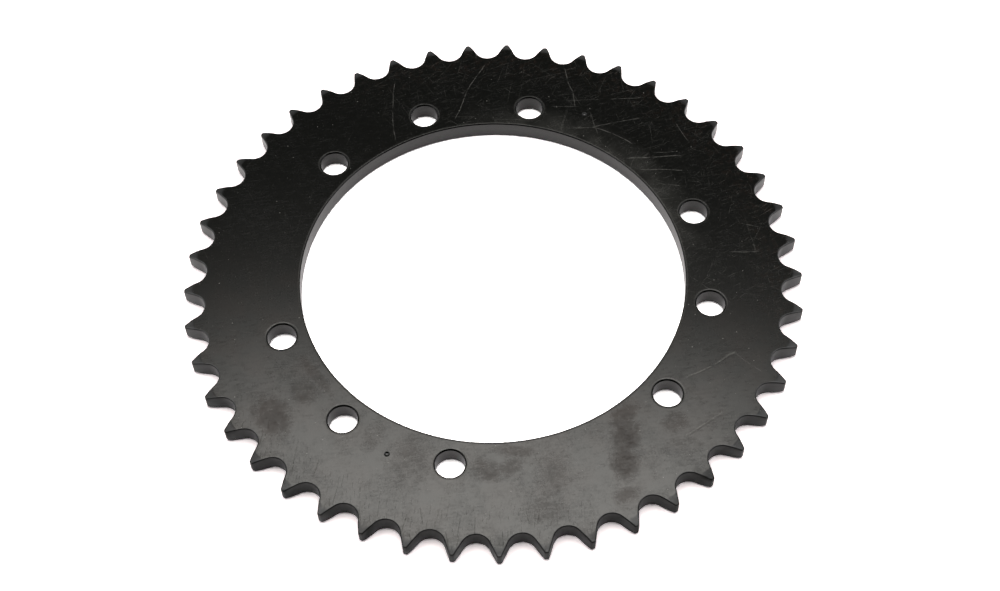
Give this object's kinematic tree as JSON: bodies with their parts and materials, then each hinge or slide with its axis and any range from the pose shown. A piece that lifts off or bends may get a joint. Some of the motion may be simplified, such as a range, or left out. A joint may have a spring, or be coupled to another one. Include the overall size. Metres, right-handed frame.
{
  "type": "chain sprocket",
  "caption": "Flat toothed ring of blackened steel plate for a half-inch pitch roller chain, with a large bore for the wheel hub and bolt holes in groups.",
  "frame": {"origin": "on the bore's axis, midway between the two faces, on the chain's centreline", "axes": "+Z along the bore's axis, out of the outer face that carries the two punched dents; +Y through the middle hole of the first bolt group; +X completes a right-handed frame"},
  "size_m": [0.1863, 0.1864, 0.0058],
  "materials": {
    "black_coated_steel": "satin"
  },
  "bodies": {
    "root": {"sprocket": "black_coated_steel"}
  },
  "joints": []
}
